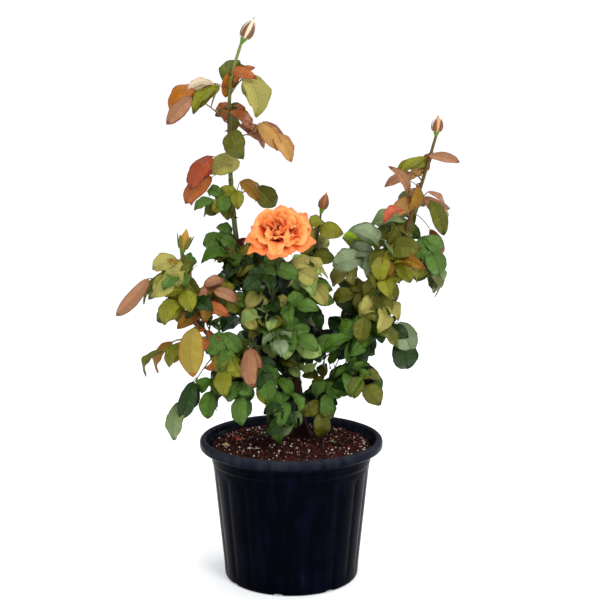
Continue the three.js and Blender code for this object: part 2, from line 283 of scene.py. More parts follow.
def potMaterial():
    # Polypropylene, injection moulded in black: a satin skin, hazed by dust in soft upright
    # streaks and paler towards the lip, so the eye gets long soft highlights down each side and
    # near-black between. The skin's grain is drawn about five times its real size, to show.
    material, tree, shader, place = newMaterial(
        "black polypropylene, moulded", pot["black"], pot["roughness"], 1.49, 0.015)
    wide, tall = 1 / (pot["streak"] * mm), 1 / (pot["streakLength"] * mm)
    upright = addNode(tree, "Mapping", {"Vector": place, "Scale": (wide, wide, tall)})
    streaks = addNode(tree, "TexNoise", {"Vector": upright, "Scale": 1.0, "Detail": 4.0})
    cloud = addNode(tree, "TexNoise", {"Vector": place, "Scale": 1 / (pot["cloud"] * mm), "Detail": 5.0})
    dust = addNode(tree, "Math", {0: streaks, 1: cloud}, operation="MULTIPLY")
    # the colour turns paler over the top 18 mm, towards the lip
    level = addNode(tree, "SeparateXYZ", {0: place}).outputs["Z"]
    onLip = addNode(tree, "MapRange", {"Value": level, 1: (pot["height"] - 18) * mm,
                                       2: pot["height"] * mm, 3: 0.0, 4: 0.5})
    thick = addNode(tree, "Math", {0: dust, 1: onLip}, operation="ADD")
    colour = addNode(tree, "ValToRGB", {"Fac": thick},
                     stops=[(0.2, pot["black"]), (0.42, pot["haze"]), (0.8, pot["dust"])])
    rough = addNode(tree, "MapRange", {"Value": dust, 1: 0.12, 2: 0.42,
                                       3: pot["roughness"] - 0.06, 4: pot["roughness"] + 0.16})
    setInputs(shader, {"Base Color": colour, "Roughness": rough})
    addGrain(tree, shader, place, pot["grain"], 0.2, 0.2)
    return material


def makePot():
    # A profile (radius, height) turned round Z. From foot to collar the radius swells by
    # |sin| of half the number of flutes, one rounded flute after another, each fading out
    # under an arch; the foot's edge lifts in low arches, the drain notches.
    rim, height, collar, foot, wall = (pot[k] for k in ("rim", "height", "collar", "foot", "wall"))
    base, lip = pot["collarBase"], height - pot["lip"]
    corner = np.radians(np.linspace(-90, 0, 7))
    edge = np.stack([foot - 4 + 4 * np.cos(corner), 4 + 4 * np.sin(corner)], -1)
    outside = [[0, 0], [foot - 14, 0], *edge]
    slope = (collar - 4.4 - foot) / (base - 26)
    body = [[foot + 0.8 + slope * (z - 14), z] for z in np.linspace(14, base - 12, 34)]
    band = [[collar - 3.2, base - 9], [collar - 2.8, base - 6], [collar - 2.6, base - 3],
            [collar - 2.6, base - 0.8], [collar - 2.2, base + 0.3], [collar - 1.4, base + 1.2],
            [collar - 1.2, base + 2.5], [collar - 0.7, base + 11], [collar - 0.5, base + 11.9],
            [collar + 0.3, base + 12.8], [collar + 0.7, base + 13.6], [collar + 1.1, lip - 1.2],
            [collar + 2, lip], [rim - 3.4, lip], [rim - 1.6, lip + 0.5], [rim - 0.4, lip + 1.8]]
    roll = [[rim, lip + 3.4], [rim, height - 4.4], [rim - 0.5, height - 2.6], [rim - 1.9, height - 1],
            [rim - 4.2, height], [rim - 6.2, height - 0.3], [rim - 7.6, height - 1.4],
            [rim - 8.4, height - 3.4]]
    inside = [[rim - 8.6, height - 5.5], [rim - 9.5, height - 8], [collar + 1.2 - wall, height - 13],
              [collar - 2.6 - wall, base - 3], [foot - wall, 8], [foot - wall - 3, 5], [0, 5]]
    profile = np.array([*outside, *body, *band, *roll, *inside])
    a = ringAngles(pot["around"])[None]
    radius, z = profile[:, :1] + 0 * a, profile[:, 1:] + 0 * a
    crown = np.abs(np.sin(a * pot["flutes"] / 2))  # 1 on a flute's crown, 0 in a groove
    arch = base - 10 + 7 * crown ** 0.6
    row = np.arange(len(profile))[:, None]
    outer = (row >= len(outside)) & (row < len(outside) + len(body) + 4)
    fade = np.clip((arch - z) / 3, 0, 1) * np.clip((z - 9) / 8, 0, 1) * outer
    radius = radius - pot["fluteDepth"] * fade * (0.2 + 1.2 * (1 - crown) ** 1.5)
    step = 2 * np.pi / pot["notches"]
    off = (a + step * 0.75) % step - step / 2
    bite = np.clip(1 - (off * foot / (pot["notchWidth"] / 2)) ** 2, 0, 1) ** 0.5
    edgeRows = (radius > foot - 9) & (row < len(outside))
    z = np.where(edgeRows, np.maximum(z, bite * pot["notchHeight"]), z)
    points = np.stack([radius * np.cos(a), radius * np.sin(a), z], -1)
    run = np.concatenate([[0], np.cumsum(np.linalg.norm(np.diff(profile, axis=0), axis=1))])
    sheet = gridLoops(np.linspace(0.01, 0.99, pot["around"] + 1), 0.01 + 0.98 * run / run[-1])
    faces = gridFaces(len(profile), pot["around"], ring=True)
    piece = addMesh("pot_moulding", "pot_plastic", points, faces, [potMaterial()],
                    {"OFBake": sheet})
    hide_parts("pot_floor", "pot_wall_front", "pot_wall_back", "pot_lip")


makePot()
print("pot made")

mix = {
    "reach": mixBox[1][0] + 0.2, "crest": mixBox[1][2] - 1, "edge": mixBox[1][2] - 6.5,
    "crumbs": 3800, "perlite": 330, "seed": 11, "rings": 64, "around": 220,
    "uneven": 0.55, "drift": 9,  # mm that the bed is uneven by, and that perlite drifts to the right
    # mm across a bit: shape and scale of a gamma spread, smallest and largest
    "crumbSize": (4, 0.33, 0.5, 3.2), "perliteSize": (5, 0.2, 0.45, 1.8),
    "skirt": [(90.8, 139), (76, 12), (0, 7)],  # radius and height, just inside the pot's wall
    "coir": ["#180804", "#2e120a", "#46190c", "#642414"], "white": "#e9dcd6", "stained": "#c9a196",
    "fibre": 1.4,  # mm across a fibre of coir
    # litter: direction from the middle (0 right, 90 back), share of the reach, mm across, colour
    "litter": [(168, 0.72, 7, "#7c2a1c"), (176, 0.66, 6, "#a04c34"), (160, 0.64, 5, "#5c1a12"),
               (190, 0.84, 6, "#b8a474"), (214, 0.62, 4.5, "#ded6c0"), (222, 0.56, 3.5, "#ded6c0"),
               (350, 0.5, 3.5, "#6c7a34"), (346, 0.56, 3, "#6c7a34")],
}


def mixHeight(x, y):
    # a low mound: the height falls with the square of the distance, under broad waves
    r = np.hypot(x, y) / mix["reach"]
    waves = np.sin(x * 0.13 + 1) * np.cos(y * 0.11) + 0.6 * np.sin(x * 0.31 - y * 0.27)
    return mix["crest"] - (mix["crest"] - mix["edge"]) * r ** 2 + 0.7 * waves * (1 - r ** 4)


def scatter(rng, count, reach):
    # points spread evenly over a disc
    r, a = reach * np.sqrt(rng.uniform(0, 1, count)), rng.uniform(0, 2 * np.pi, count)
    return r * np.cos(a), r * np.sin(a)


def looseBits(rng, middles, size, flat):
    # uneven lumps: octahedra with each corner pushed in or out, turned any way and flattened
    corners = np.array([[1, 0, 0], [0, 1, 0], [-1, 0, 0], [0, -1, 0], [0, 0, 1], [0, 0, -1]], float)
    sides = [[k, (k + 1) % 4, 4] for k in range(4)] + [[(k + 1) % 4, k, 5] for k in range(4)]
    turn = np.linalg.qr(rng.normal(size=(len(size), 3, 3)))[0]
    turn *= np.sign(np.linalg.det(turn))[:, None, None]
    lumps = (corners * rng.uniform(0.6, 1.3, (len(size), 6, 1)) * size[:, None, None]) @ turn
    points = lumps * [1, 1, flat] + middles[:, None]
    faces = np.array(sides) + 6 * np.arange(len(size))[:, None, None]
    return points, faces.reshape(-1, 3)


def coirMaterial(name, colour, roughness):
    # Moist coir and peat, loose: matt and rough, so it keeps its dark red-brown in the pot's
    # shade. Fibres catch a little light on their ridges.
    material, tree, shader, place = newMaterial(name, colour, roughness, 1.4, 0.3)
    fibre = addGrain(tree, shader, place, mix["fibre"], 0.7, 0.6, 3.0)
    rough = addNode(tree, "MapRange", {"Value": fibre, 3: roughness - 0.15, 4: 1.0})
    setInputs(shader, {"Roughness": rough})
    return material


def makeMix():
    # The bed is rings of a disc at the mound's height plus fine noise, with a skirt down the
    # pot's wall. Crumbs and perlite are lumps dealt out evenly over the same mound.
    rng = np.random.default_rng(mix["seed"])
    reach, around = mix["reach"], mix["around"]

    def sizes(count, shape, scale, least, most):
        return rng.gamma(shape, scale, count).clip(least, most)

    def lay(name, x, y, lift, size, flat, materials, deal=None, odds=None):
        # lumps on the mound, their materials given one by one or dealt out by odds
        points, faces = looseBits(rng, np.stack([x, y, mixHeight(x, y) + lift], -1), size, flat)
        if odds:
            deal = rng.choice(len(odds), len(size), p=odds)
        addMesh(name, "potting_mix", points, faces, materials, deal=np.repeat(deal, 8), smooth=False,
                weld=False)

    skirt = np.array([(reach + 0.3, mix["edge"] - 4), *mix["skirt"]])
    r = np.concatenate([[0], np.linspace(1.5, reach, mix["rings"]), skirt[:, 0]])[:, None]
    a = ringAngles(around)[None]
    x, y = r * np.cos(a), r * np.sin(a)
    z = mixHeight(x, y) + rng.normal(0, mix["uneven"], x.shape) * ((r < reach - 1) & (r > 0))
    z[-len(skirt):] = skirt[:, 1:]
    shades = [coirMaterial(f"coir potting mix {n}", c, 0.9) for n, c in enumerate(mix["coir"])]
    faces = gridFaces(len(r), around, ring=True)[:, ::-1]
    deal = rng.choice(4, len(faces), p=[0.45, 0.3, 0.17, 0.08])
    bed = addMesh("potting_mix_bed", "potting_mix", np.stack([x, y, z], -1), faces, shades, deal=deal,
                  smooth=False)
    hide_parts("potting_mix")
    x, y = scatter(rng, mix["crumbs"], reach - 1.5)
    size = sizes(mix["crumbs"], *mix["crumbSize"])
    lay("potting_mix_crumbs", x, y, 0.5, size, 0.8, shades, odds=[0.25, 0.3, 0.3, 0.15])
    # perlite, puffed volcanic glass: chalk white, much of it stained pink-brown by the coir
    whites = [coirMaterial("perlite", mix["white"], 0.8),
              coirMaterial("perlite, stained", mix["stained"], 0.85)]
    x, y = scatter(rng, mix["perlite"], reach - 3)
    x = x + mix["drift"] * (1 - (x / reach) ** 2)
    size = sizes(mix["perlite"], *mix["perliteSize"])
    lay("perlite_bits", x, y, 1.3, size, 1.0, whites, odds=[0.45, 0.55])
    # dried petals and scraps, as flat uneven flakes that lie on the mound
    turn, share, size, colours = (np.array(column) for column in zip(*mix["litter"]))
    x, y = (reach * share * wave(np.radians(turn)) for wave in (np.cos, np.sin))
    order = sorted(set(colours))
    scraps = [coirMaterial(f"dried petals and scraps {n}", c, 0.7) for n, c in enumerate(order)]
    lay("litter", x, y, 2.2, size, 0.35, scraps, [order.index(c) for c in colours])


makeMix()
print("potting mix made")

# the radius of each cane at its foot and its tip
canes = {
    "trunk": (8.5, 6.5), "cane_left": (5.2, 1.9), "cane_middle": (4.6, 2.6), "cane_right": (5, 1.9),
    "shoot_centre": (3.6, 1.5), "shoot_left": (3.8, 1.7), "branch_low_right": (2.6, 1.6),
}
bark = {
    "sides": 20, "step": 2.2, "crack": 2.4, "seed": 4,  # mm between rings, mm between cracks
    "ridge": 0.05, "joint": 0.14, "jointGap": 38,  # swells, as shares of the radius; mm between nodes
    "flare": 6, "flareHeight": 9,  # mm that the trunk widens by at the mix, and over what height
    "window": 26,  # mm of a CAD limb that each point of its middle line is worked out from
    "foot": 165, "top": 600, "slim": 0.86,  # mm, where brown bark starts and ends turning green
    "green": [(0.0, "#2a120a"), (0.14, "#331a0e"), (0.24, "#1c1b0b"), (0.5, "#2c3312"), (0.62, "#4c5426"),
              (0.74, "#6b7638"), (0.82, "#4a3a22"), (0.9, "#57502a"), (1.0, "#7d8a44")],
    "brown": [(0.0, "#2a120a"), (0.2, "#34190d"), (0.4, "#4a2c16"), (0.6, "#5c3f1e"), (0.75, "#54501e"),
              (0.86, "#6a4a26"), (1.0, "#7d7a34")],
    "browner": ["cane_right", "branch_low_right"],
}
caneLines = {}  # every cane's middle line, in even steps of its length


def barkMaterial(tone):
    # Rose cane as it grew: smooth waxy green above, dull red-brown cork with fine upright
    # cracks near the ground, and the eye follows the change up each cane.
    material, tree, shader, place = newMaterial(f"rose cane bark {tone}", "#50582c", 0.55, 1.45, 0.25)
    level = addNode(tree, "SeparateXYZ", {0: place}).outputs["Z"]
    height = addNode(tree, "MapRange", {"Value": level, 1: bark["foot"] * mm, 2: bark["top"] * mm})
    fine = 1 / (bark["crack"] * mm)
    upright = addNode(tree, "Mapping", {"Vector": place, "Scale": (fine, fine, fine / 9)})
    cracks = addNode(tree, "TexNoise", {"Vector": upright, "Scale": 1.0, "Detail": 4.0})
    shift = addNode(tree, "MapRange", {"Value": cracks, 1: 0.3, 2: 0.7, 3: -0.1, 4: 0.1})
    blend = addNode(tree, "Math", {0: height, 1: shift}, operation="ADD")
    colour = addNode(tree, "ValToRGB", {"Fac": blend}, stops=bark[tone])
    rough = addNode(tree, "MapRange", {"Value": height, 3: 0.8, 4: 0.45})
    bump = addNode(tree, "Bump", {"Strength": 0.6, "Distance": 0.5 * mm, "Height": cracks})
    setInputs(shader, {"Base Color": colour, "Roughness": rough, "Normal": bump})
    return material


def makeCanes():
    # Rings round each cane's line: the radius tapers from foot to tip, and swells by uneven
    # ridges, waves round and along the cane, and by a bump at every node.
    rng = np.random.default_rng(bark["seed"])
    sides, parts, loops, deal = bark["sides"], [], [], []
    a = ringAngles(sides)[None]
    strip = np.linspace(0.04, 0.96, sides + 1)
    for number, (name, (foot, tip)) in enumerate(canes.items()):
        line = limbLine(name, bark["window"])
        span = np.linalg.norm(np.diff(line, axis=0), axis=1).sum()
        rows = int(span / bark["step"])
        line = caneLines[name] = evenSteps(line, rows)
        t = np.linspace(0, 1, rows)
        radius = (foot + (tip - foot) * t) * bark["slim"]
        if name == "trunk":
            radius = radius + bark["flare"] * np.exp(-np.maximum(line[:, 2] - 167, 0) / bark["flareHeight"])
        t = t[:, None]
        woody = np.clip(1.6 - (line[:, 2:] - bark["foot"]) / 90, 0.35, 1.6)
        waves = np.sin(3 * a + 9 * t + number) + 0.7 * np.sin(7 * a - 14 * t)
        waves = waves + rng.normal(0, 0.6, waves.shape)
        joints = 1 + bark["joint"] * np.exp(-((t * span / bark["jointGap"] + 0.4) % 1 - 0.5) ** 2 / 0.004)
        grid = tubeGrid(line, radius, sides, (1 + bark["ridge"] * woody * waves) * joints)
        parts.append((grid, gridFaces(len(grid), sides, ring=True)))
        loops.append(gridLoops((number + strip) / len(canes), np.linspace(0.01, 0.99, len(grid))))
        deal += [int(name in bark["browner"])] * len(parts[-1][1])
    piece = addMesh("canes_bark", "bark", *joinParts(parts), [barkMaterial("green"), barkMaterial("brown")],
                    {"OFBake": np.vstack(loops)}, deal)
    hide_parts(*canes)


makeCanes()
prickles = {
    "count": 74, "length": 5.5, "thick": 1.5, "hook": 0.35,  # mm; sag of the tip, as a share of its length
    "colour": "#4a2416", "seed": 5,
}


def makePrickles():
    # Each prickle is a hooked cone: its rings shrink to a point while their middle moves out
    # from the cane and sags with the square of the way.
    rng = np.random.default_rng(prickles["seed"])
    count = prickles["count"]
    names = [n for n in canes if n != "trunk"]
    weight = np.array([len(caneLines[n]) for n in names], float)
    pick = [names[k] for k in rng.choice(len(names), count, p=weight / weight.sum())]
    share = rng.uniform(0.04, 0.86, count)
    place = [int(s * (len(caneLines[n]) - 2)) for n, s in zip(pick, share)]
    spot = np.array([caneLines[n][k] for n, k in zip(pick, place)])
    up = unit(np.array([caneLines[n][k + 1] for n, k in zip(pick, place)]) - spot)
    radius = np.array([canes[n][0] + (canes[n][1] - canes[n][0]) * s for n, s in zip(pick, share)])
    turn = rng.uniform(0, 2 * np.pi, count)
    out = square(flatWay(turn), up)
    t = np.linspace(0, 1, 5)[:, None]
    length = rng.uniform(0.6, 1, (count, 1, 1)) * prickles["length"]
    line = spot[:, None] + out[:, None] * (radius[:, None, None] * 0.8 + t * length)
    line = line - up[:, None] * t ** 2 * length * prickles["hook"]
    thick = prickles["thick"] * (1 - t[:, 0]) ** 1.3 + 0.06
    grid = tubeGrid(line, np.tile(thick, (count, 1)), 6)
    # horn-like and red-brown, a little glossy
    material = grainyMaterial("rose prickle", prickles["colour"], 0.45, 1.45, 0.5, 1.2, 0.3, 0.3)
    addMesh("prickles", "bark", grid, gridFaces(7, 6, ring=True, copies=count), [material])


makePrickles()
print("canes made")

# tints of the leaflets, as blade, margin and midrib
youngTints = {
    "blush": ("#dcc8a8", "#b88c70", "#b08c68"), "amber": ("#bc6c0c", "#8c4a10", "#d08c30"),
    "rust": ("#b0602a", "#80381a", "#c8824a"), "tan": ("#c69450", "#9c5a34", "#dab470"),
    "pink": ("#a87452", "#7a4234", "#c49668"), "copper": ("#a04420", "#6a2a1c", "#b85c34"),
    "bronze": ("#906410", "#743c0c", "#a48428"), "maroon": ("#4e0a08", "#6a2a24", "#380505"),
    "scarlet": ("#be5a38", "#9c3c26", "#c88850"), "honey": ("#a08a30", "#985c2c", "#b8a858"),
}
greenTints = {
    "sage": ("#aaa252", "#868634", "#c8bf7c"), "olive": ("#86861c", "#6a6416", "#a8a240"),
    "moss": ("#5e6014", "#484a0e", "#80802c"), "lime": ("#9cbc24", "#80a020", "#bccc58"),
    # grey is a green paled towards grey by a painted sheen: the sky's reflection on waxy leaves
    "grey": ("#7a8c58", "#5e723e", "#98a874"), "cool": ("#869870", "#667c54", "#a6b48a"),
    "fern": ("#527428", "#3c561a", "#769a42"), "meadow": ("#446814", "#34500e", "#648a36"),
    # shade is painted shade: near-black green for leaves inside the bush, where its own shade falls
    "deep": ("#203c0a", "#162a06", "#38561a"), "shade": ("#0c1804", "#081002", "#1a2c0a"),
    "pale": ("#92aa5c", "#76904a", "#b4c884"),
}
leaf = {
    "rows": 14, "cuts": [-1, -0.87, -0.03, 0.03, 0.87, 1],  # across half the width
    "slant": 0.1,  # how far the margin runs ahead of the midrib
    "teeth": 0.014, "fold": 0.34, "wave": 0.06, "veins": 8, "pucker": 4, "seed": 21,
    # of a leaflet's length: its arch, how much more where it faces up or sideways, its tip's droop
    "arch": (0.07, 0.2), "archMore": 0.12, "droop": (0.04, 0.2),
    "folds": (0.4, 1.3),  # how far each is folded, in folds
    "roughness": (0.38, 0.36), "relief": (0.8, 0.55),  # of green and of young leaves
    # degrees of roll, the shares of green and young leaflets that stand on edge, and their roll
    "roll": 10, "edgeOn": (0.1, 0.14), "edgeRoll": 44,
}


def leafMaterial(name, colour, young):
    # Rose leaf, thin and waxy: a soft sheen broken by the sunk midrib, by side veins that
    # run slantwise to the margin and by puckered skin between them. Young leaves are the
    # shinier and smoother. Veins are drawn fewer than real, so that they show.
    roughness = leaf["roughness"][int(young)]
    material, tree, shader, place = newMaterial(name, colour, roughness, 1.45, 0.28)
    split = addNode(tree, "SeparateXYZ", {0: addNode(tree, "UVMap", uv_map="leaf")})
    side = addNode(tree, "Math", {0: split.outputs["X"], 1: 0.5}, operation="SUBTRACT")
    away = addNode(tree, "Math", {0: side}, operation="ABSOLUTE")  # 0 at the midrib
    slant = addNode(tree, "Math", {0: away, 1: -0.8, 2: split.outputs["Y"]}, operation="MULTIPLY_ADD")
    turns = addNode(tree, "Math", {0: slant, 1: leaf["veins"] * 2 * math.pi}, operation="MULTIPLY")
    veins = addNode(tree, "Math", {0: turns}, operation="SINE")
    groove = addNode(tree, "MapRange", {"Value": away, 1: 0.0, 2: 0.06, 3: -2.0, 4: 0.0})
    noise = addNode(tree, "TexNoise", {"Vector": place, "Scale": 1 / (leaf["pucker"] * mm)})
    skin = addNode(tree, "Math", {0: noise, 1: 3.0, 2: groove}, operation="MULTIPLY_ADD")
    height = addNode(tree, "Math", {0: veins, 1: 0.45, 2: skin}, operation="MULTIPLY_ADD")
    relief = leaf["relief"][int(young)]
    bump = addNode(tree, "Bump", {"Strength": relief, "Distance": 0.5 * mm, "Height": height})
    rough = addNode(tree, "MapRange", {"Value": noise, 3: roughness - 0.12, 4: roughness + 0.12})
    setInputs(shader, {"Normal": bump, "Roughness": rough})
    return material


leafMaterials = {}  # the materials of each tint, made when a piece first asks for them


def tintMaterials(tint):
    # one half of the blade, the other half in painted shade, a painted sheen on ridges between veins, margin
    # and midrib
    if tint not in leafMaterials:
        young = tint in youngTints
        blade, margin, rib = (youngTints if young else greenTints)[tint]
        # the shaded half is painted shade, the blade darkened a tenth; ridges are a painted sheen, the blade
        # paled towards cream
        shades = {"blade": blade, "shaded half": blendHex(blade, "#0c1004", 0.1),
                  "ridges": blendHex(blade, "#f0eebc", 0.05), "margin": blendHex(blade, margin, 0.8),
                  "midrib": blendHex(blade, rib, 0.5)}
        leafMaterials[tint] = [leafMaterial(f"rose leaf {tint} {part}", c, young)
                               for part, c in shades.items()]
    return leafMaterials[tint]


def blendHex(first, second, share):
    # a hex colour part of the way from the first to the second
    a, b = (np.array([int(h[i:i + 2], 16) for i in (1, 3, 5)]) for h in (first, second))
    return "#%02x%02x%02x" % tuple(int(round(x)) for x in a + (b - a) * share)


# The masses of leaves, by the piece that they are made in: the leaflets of a spray, the
# length of one in mm, how far they hang (0 straight out from the cane, 2 nearly straight
# down), and the tint of each spray, from the left, or from the top where the mass is tall.
# A fifth value is the width of a leaflet for its length, where it isn't the usual one.
# shade in a palette is painted shade: a near-black leaf inside the bush
masses = {
    "left": {
        "foliage_left_top": (1, 36, 0.3, "blush amber rust moss"),
        "foliage_left_top_side": (1, 50, 2.4, "sage"),
        "foliage_left_wing": (1, 46, 1.3, "pink amber olive", 0.46),
        "foliage_left_shoulder": (1, 42, 1.3, "rust pink tan pink tan", 0.42),
        "foliage_left_high": (1, 40, 1.5, "moss sage"),
        "foliage_left_copper": (1, 52, 1.5, "copper rust"),
        "foliage_left_bronze": (1, 34, 1.6, "bronze moss"),
        "foliage_left_green": (3, 28, 0.8, "fern moss olive"),
        "foliage_left_fork": (3, 30, 0.6, "meadow fern olive maroon"),
        "foliage_left_dark": (5, 30, 0.8, "deep moss fern deep olive"),
    },
    "shoot": {
        "foliage_shoot_top": (1, 32, 0.4, "honey fern moss"),
        "foliage_shoot_tip": (1, 58, 1.2, "pink moss", 0.24),
        "foliage_shoot_olive": (3, 34, 1.2, "sage moss olive bronze"),
        "foliage_shoot_big": (1, 60, 2.2, "honey"),
        "foliage_shoot_low": (1, 38, 1.1, "moss bronze olive", 0.52),
        "foliage_shoot_inner": (3, 32, 1.0, "pink fern rust olive pink fern"),
        "foliage_side_olive": (3, 34, 1.4, "fern moss olive rust"),
        "foliage_side_pink": (1, 44, 2.4, "pink", 0.52),
        "foliage_skirt_left": (3, 34, 0.8, "meadow deep fern"),
        "foliage_skirt_tail": (1, 48, 1.3, "deep grey", 0.45),
    },
    "middle": {
        "foliage_foot_front": (3, 30, 1.2, "deep olive meadow meadow fern grey deep fern"),
        "foliage_under_bloom": (3, 30, 1.2, "shade deep fern pale sage"),
        "foliage_middle_left": (5, 30, 1.1, "deep sage fern shade olive"),
        "foliage_middle_top": (3, 28, 0.9, "olive sage moss"),
        "foliage_middle_right": (3, 32, 0.9, "pale fern sage deep"),
        "foliage_middle": (5, 32, 0.7, "fern pale fern deep pale fern meadow deep"),
        "foliage_heart": (5, 30, 0.8, "deep shade deep shade fern shade meadow deep"),
        "foliage_shoulder_pale": (1, 50, 0.1, "lime", 0.42),
    },
    "right": {
        "foliage_right_inner": (3, 34, 1.1, "cool sage moss grey"),
        "foliage_right_top": (1, 42, 0.7, "pink tan olive rust pink", 0.3),
        "foliage_right_red": (1, 34, 0.6, "scarlet tan bronze", 0.56),
        "foliage_right_tail": (1, 42, 1.6, "pink sage moss rust", 0.4),
        "foliage_right_wing": (1, 44, 0.2, "cool grey", 0.5),
        "foliage_right_middle": (3, 38, 1.0, "moss grey bronze fern olive"),
        "foliage_right_hang": (3, 38, 1.6, "fern grey moss"),
        "foliage_right_low": (3, 34, 1.2, "olive moss sage deep moss meadow"),
        "foliage_right_tip": (1, 38, 2.2, "cool deep"),
        "foliage_skirt_right": (3, 34, 0.6, "deep meadow fern deep moss"),
        "foliage_skirt_foot": (3, 30, 1.1, "fern deep moss"),
    },
    "back": {
        "foliage_back_middle": (5, 34, 0.9, "deep meadow fern deep fern meadow deep"),
        "foliage_back_right": (5, 34, 0.9, "meadow grey deep fern deep"),
        "foliage_back_top": (3, 28, 0.8, "rust moss"),
        "foliage_back_far": (3, 30, 1.4, "grey moss fern"),
    },
}
growth = {
    "seed": 8, "reach": 0.8, "stray": 0.35,  # how far sprays lie along and off their mass, of its half size
    "depth": 0.45, "slack": 7,  # how far they lie to front and back; mm that a leaflet may stand out
    "drop": 12, "shift": 6, "bow": 0.07,  # a stalk's start: mm below its spray, steps it may move; its bow
    "swing": 58, "side": 0.86, "pairGap": 0.42,  # side leaflets: degrees; size and gap between pairs, shares
    "green": 0.66, "young": 0.45,  # the usual width of a green and of a young leaflet for its length
    "step": 15, "golden": 2.4, "off": 36,  # sprays on the canes: mm apart, radians between them, mm off
    "leafAlong": 27, "hangAlong": 0.7,  # the leaflets of those sprays: mm long, and how far they hang
    "spread": 0.6,  # how far headings turn to front and back, as a share
    "fellow": 0.75, "fellowGap": 14,  # share of the sprays that have a fellow behind, and mm between them
    # fellows in shade are given the near-black shade tint: painted shade
    "dark": 0.75, "shadeBelow": 320,  # share of green fellows that are in shade, below what height in mm
    "redFrom": 400,  # mm above which stalks are red-brown
    "mainStalk": (0.95, 0.6), "sideStalk": (0.6, 0.45),  # mm, radius at the start and at the end
    # seeded spreads: of headings and faces, of swings in degrees, of lengths and widths, and of
    # the turns and distances of sprays on the canes
    "headings": 0.12, "faces": 0.2, "ownFaces": 0.15, "swings": 8, "lengths": (0.88, 1.1),
    "widths": (0.86, 1.16), "turns": 0.2, "offs": (0.7, 1.3),
    "fellowSize": 0.9, "sideDrop": 0.25,  # size of a fellow's leaflets, and how far side leaflets hang
}
# the canes that bear a region's leaves, where it isn't all of them
bearers = {"left": ["cane_left"], "shoot": ["shoot_left"], "right": ["cane_right", "branch_low_right"]}
# sprays on the canes themselves: the piece they are made in, from what height to what, tints
# shade in these palettes is painted shade: near-black leaves low in the bush
along = {
    "cane_left": ("left", 270, 420, "deep fern moss deep"),
    "cane_middle": ("middle", 262, 380, "pale fern cool deep"),
    "cane_right": ("right", 228, 320, "deep moss fern deep olive"),
    "trunk": ("middle", 215, 240, "shade deep"),
    "shoot_centre": ("middle", 262, 380, "deep fern shade moss"),
    "shoot_left": ("shoot", 266, 372, "moss deep rust fern"),
}
leaflets = []  # (region, tint, width, foot, tip, face) of every leaflet on the bush
stalks = []  # (path of points, radius at its start, radius at its end)


def caneNear(rng, point, region):
    # the nearest point of the canes that the region grows on, moved a seeded way along its cane
    lines = [caneLines[name] for name in bearers.get(region, caneLines)]
    line = min(lines, key=lambda each: np.linalg.norm(each - point, axis=1).min())
    near = np.linalg.norm(line - point, axis=1).argmin()
    near = near + rng.integers(-growth["shift"], growth["shift"] + 1)
    return line[np.clip(near, 0, len(line) - 1)]


def stalkPath(start, end, rise, count=9):
    # a quadratic curve between two points that bows upwards by rise times their distance
    bow = (start + end) / 2 + np.array([0, 0, 2 * rise * np.linalg.norm(end - start)])
    t = np.linspace(0, 1, count)[:, None]
    return (1 - t) ** 2 * start + 2 * t * (1 - t) * bow + t ** 2 * end


def layStalks(root, feet):
    # the main stalk runs to the furthest foot, and every other foot joins it by a short one
    feet = np.array(feet)
    far = np.linalg.norm(feet - root, axis=1).argmax()
    main = stalkPath(root, feet[far], growth["bow"])
    stalks.append((main, *growth["mainStalk"]))
    for foot in np.delete(feet, far, axis=0):
        near = max(np.linalg.norm(main - foot, axis=1).argmin() - 1, 0)
        stalks.append((stalkPath(main[near], foot, 0.08, 5), *growth["sideStalk"]))


def growSpray(rng, region, tint, spot, ahead, shape, box):
    # A stalk grows from the nearest cane to the foot of the end leaflet, whose middle is the
    # spot. It heads away from the cane, on along its mass and down. Pairs leave the stalk
    # behind it and swing out to both sides. Returns the stalk's root and the leaflets' feet.
    count, length, hang, ratio = shape
    root = caneNear(rng, spot - [0, 0, growth["drop"]], region)
    away = unit(spot - root)
    onwards = ahead * (np.sign(ahead @ away) or 1)
    way = away + onwards - [0, 0, hang] + rng.normal(0, growth["headings"], 3)
    heading = unit(way * [1, growth["spread"], 1])
    front = 1 if region == "back" else -1
    face = np.array([0.3 * away[0], front, 0.45]) + rng.normal(0, growth["faces"], 3)
    face = square(face, heading)
    across = np.cross(heading, face)
    length = length * rng.uniform(*growth["lengths"])
    end = spot - heading * length / 2
    feet = []
    for pair in range(count // 2 + 1):
        for side in ((0,) if pair == 0 else (1, -1)):
            swing = math.radians(growth["swing"] + rng.normal(0, growth["swings"])) * side
            drop = [0, 0, growth["sideDrop"] * hang * abs(side)]
            way = heading * math.cos(swing) + across * math.sin(swing) - drop
            size = length * (growth["side"] if side else 1)
            foot = end - heading * length * growth["pairGap"] * pair
            tip = np.clip(foot + unit(way) * size, box[0] - growth["slack"], box[1] + growth["slack"])
            ownFace = square(face + rng.normal(0, growth["ownFaces"], 3), unit(tip - foot))
            usual = growth["young" if tint in youngTints else "green"]
            width = size * (ratio or usual) * rng.uniform(*growth["widths"])
            leaflets.append((region, tint, width, foot, tip, ownFace))
            feet.append(foot)
    return root, feet


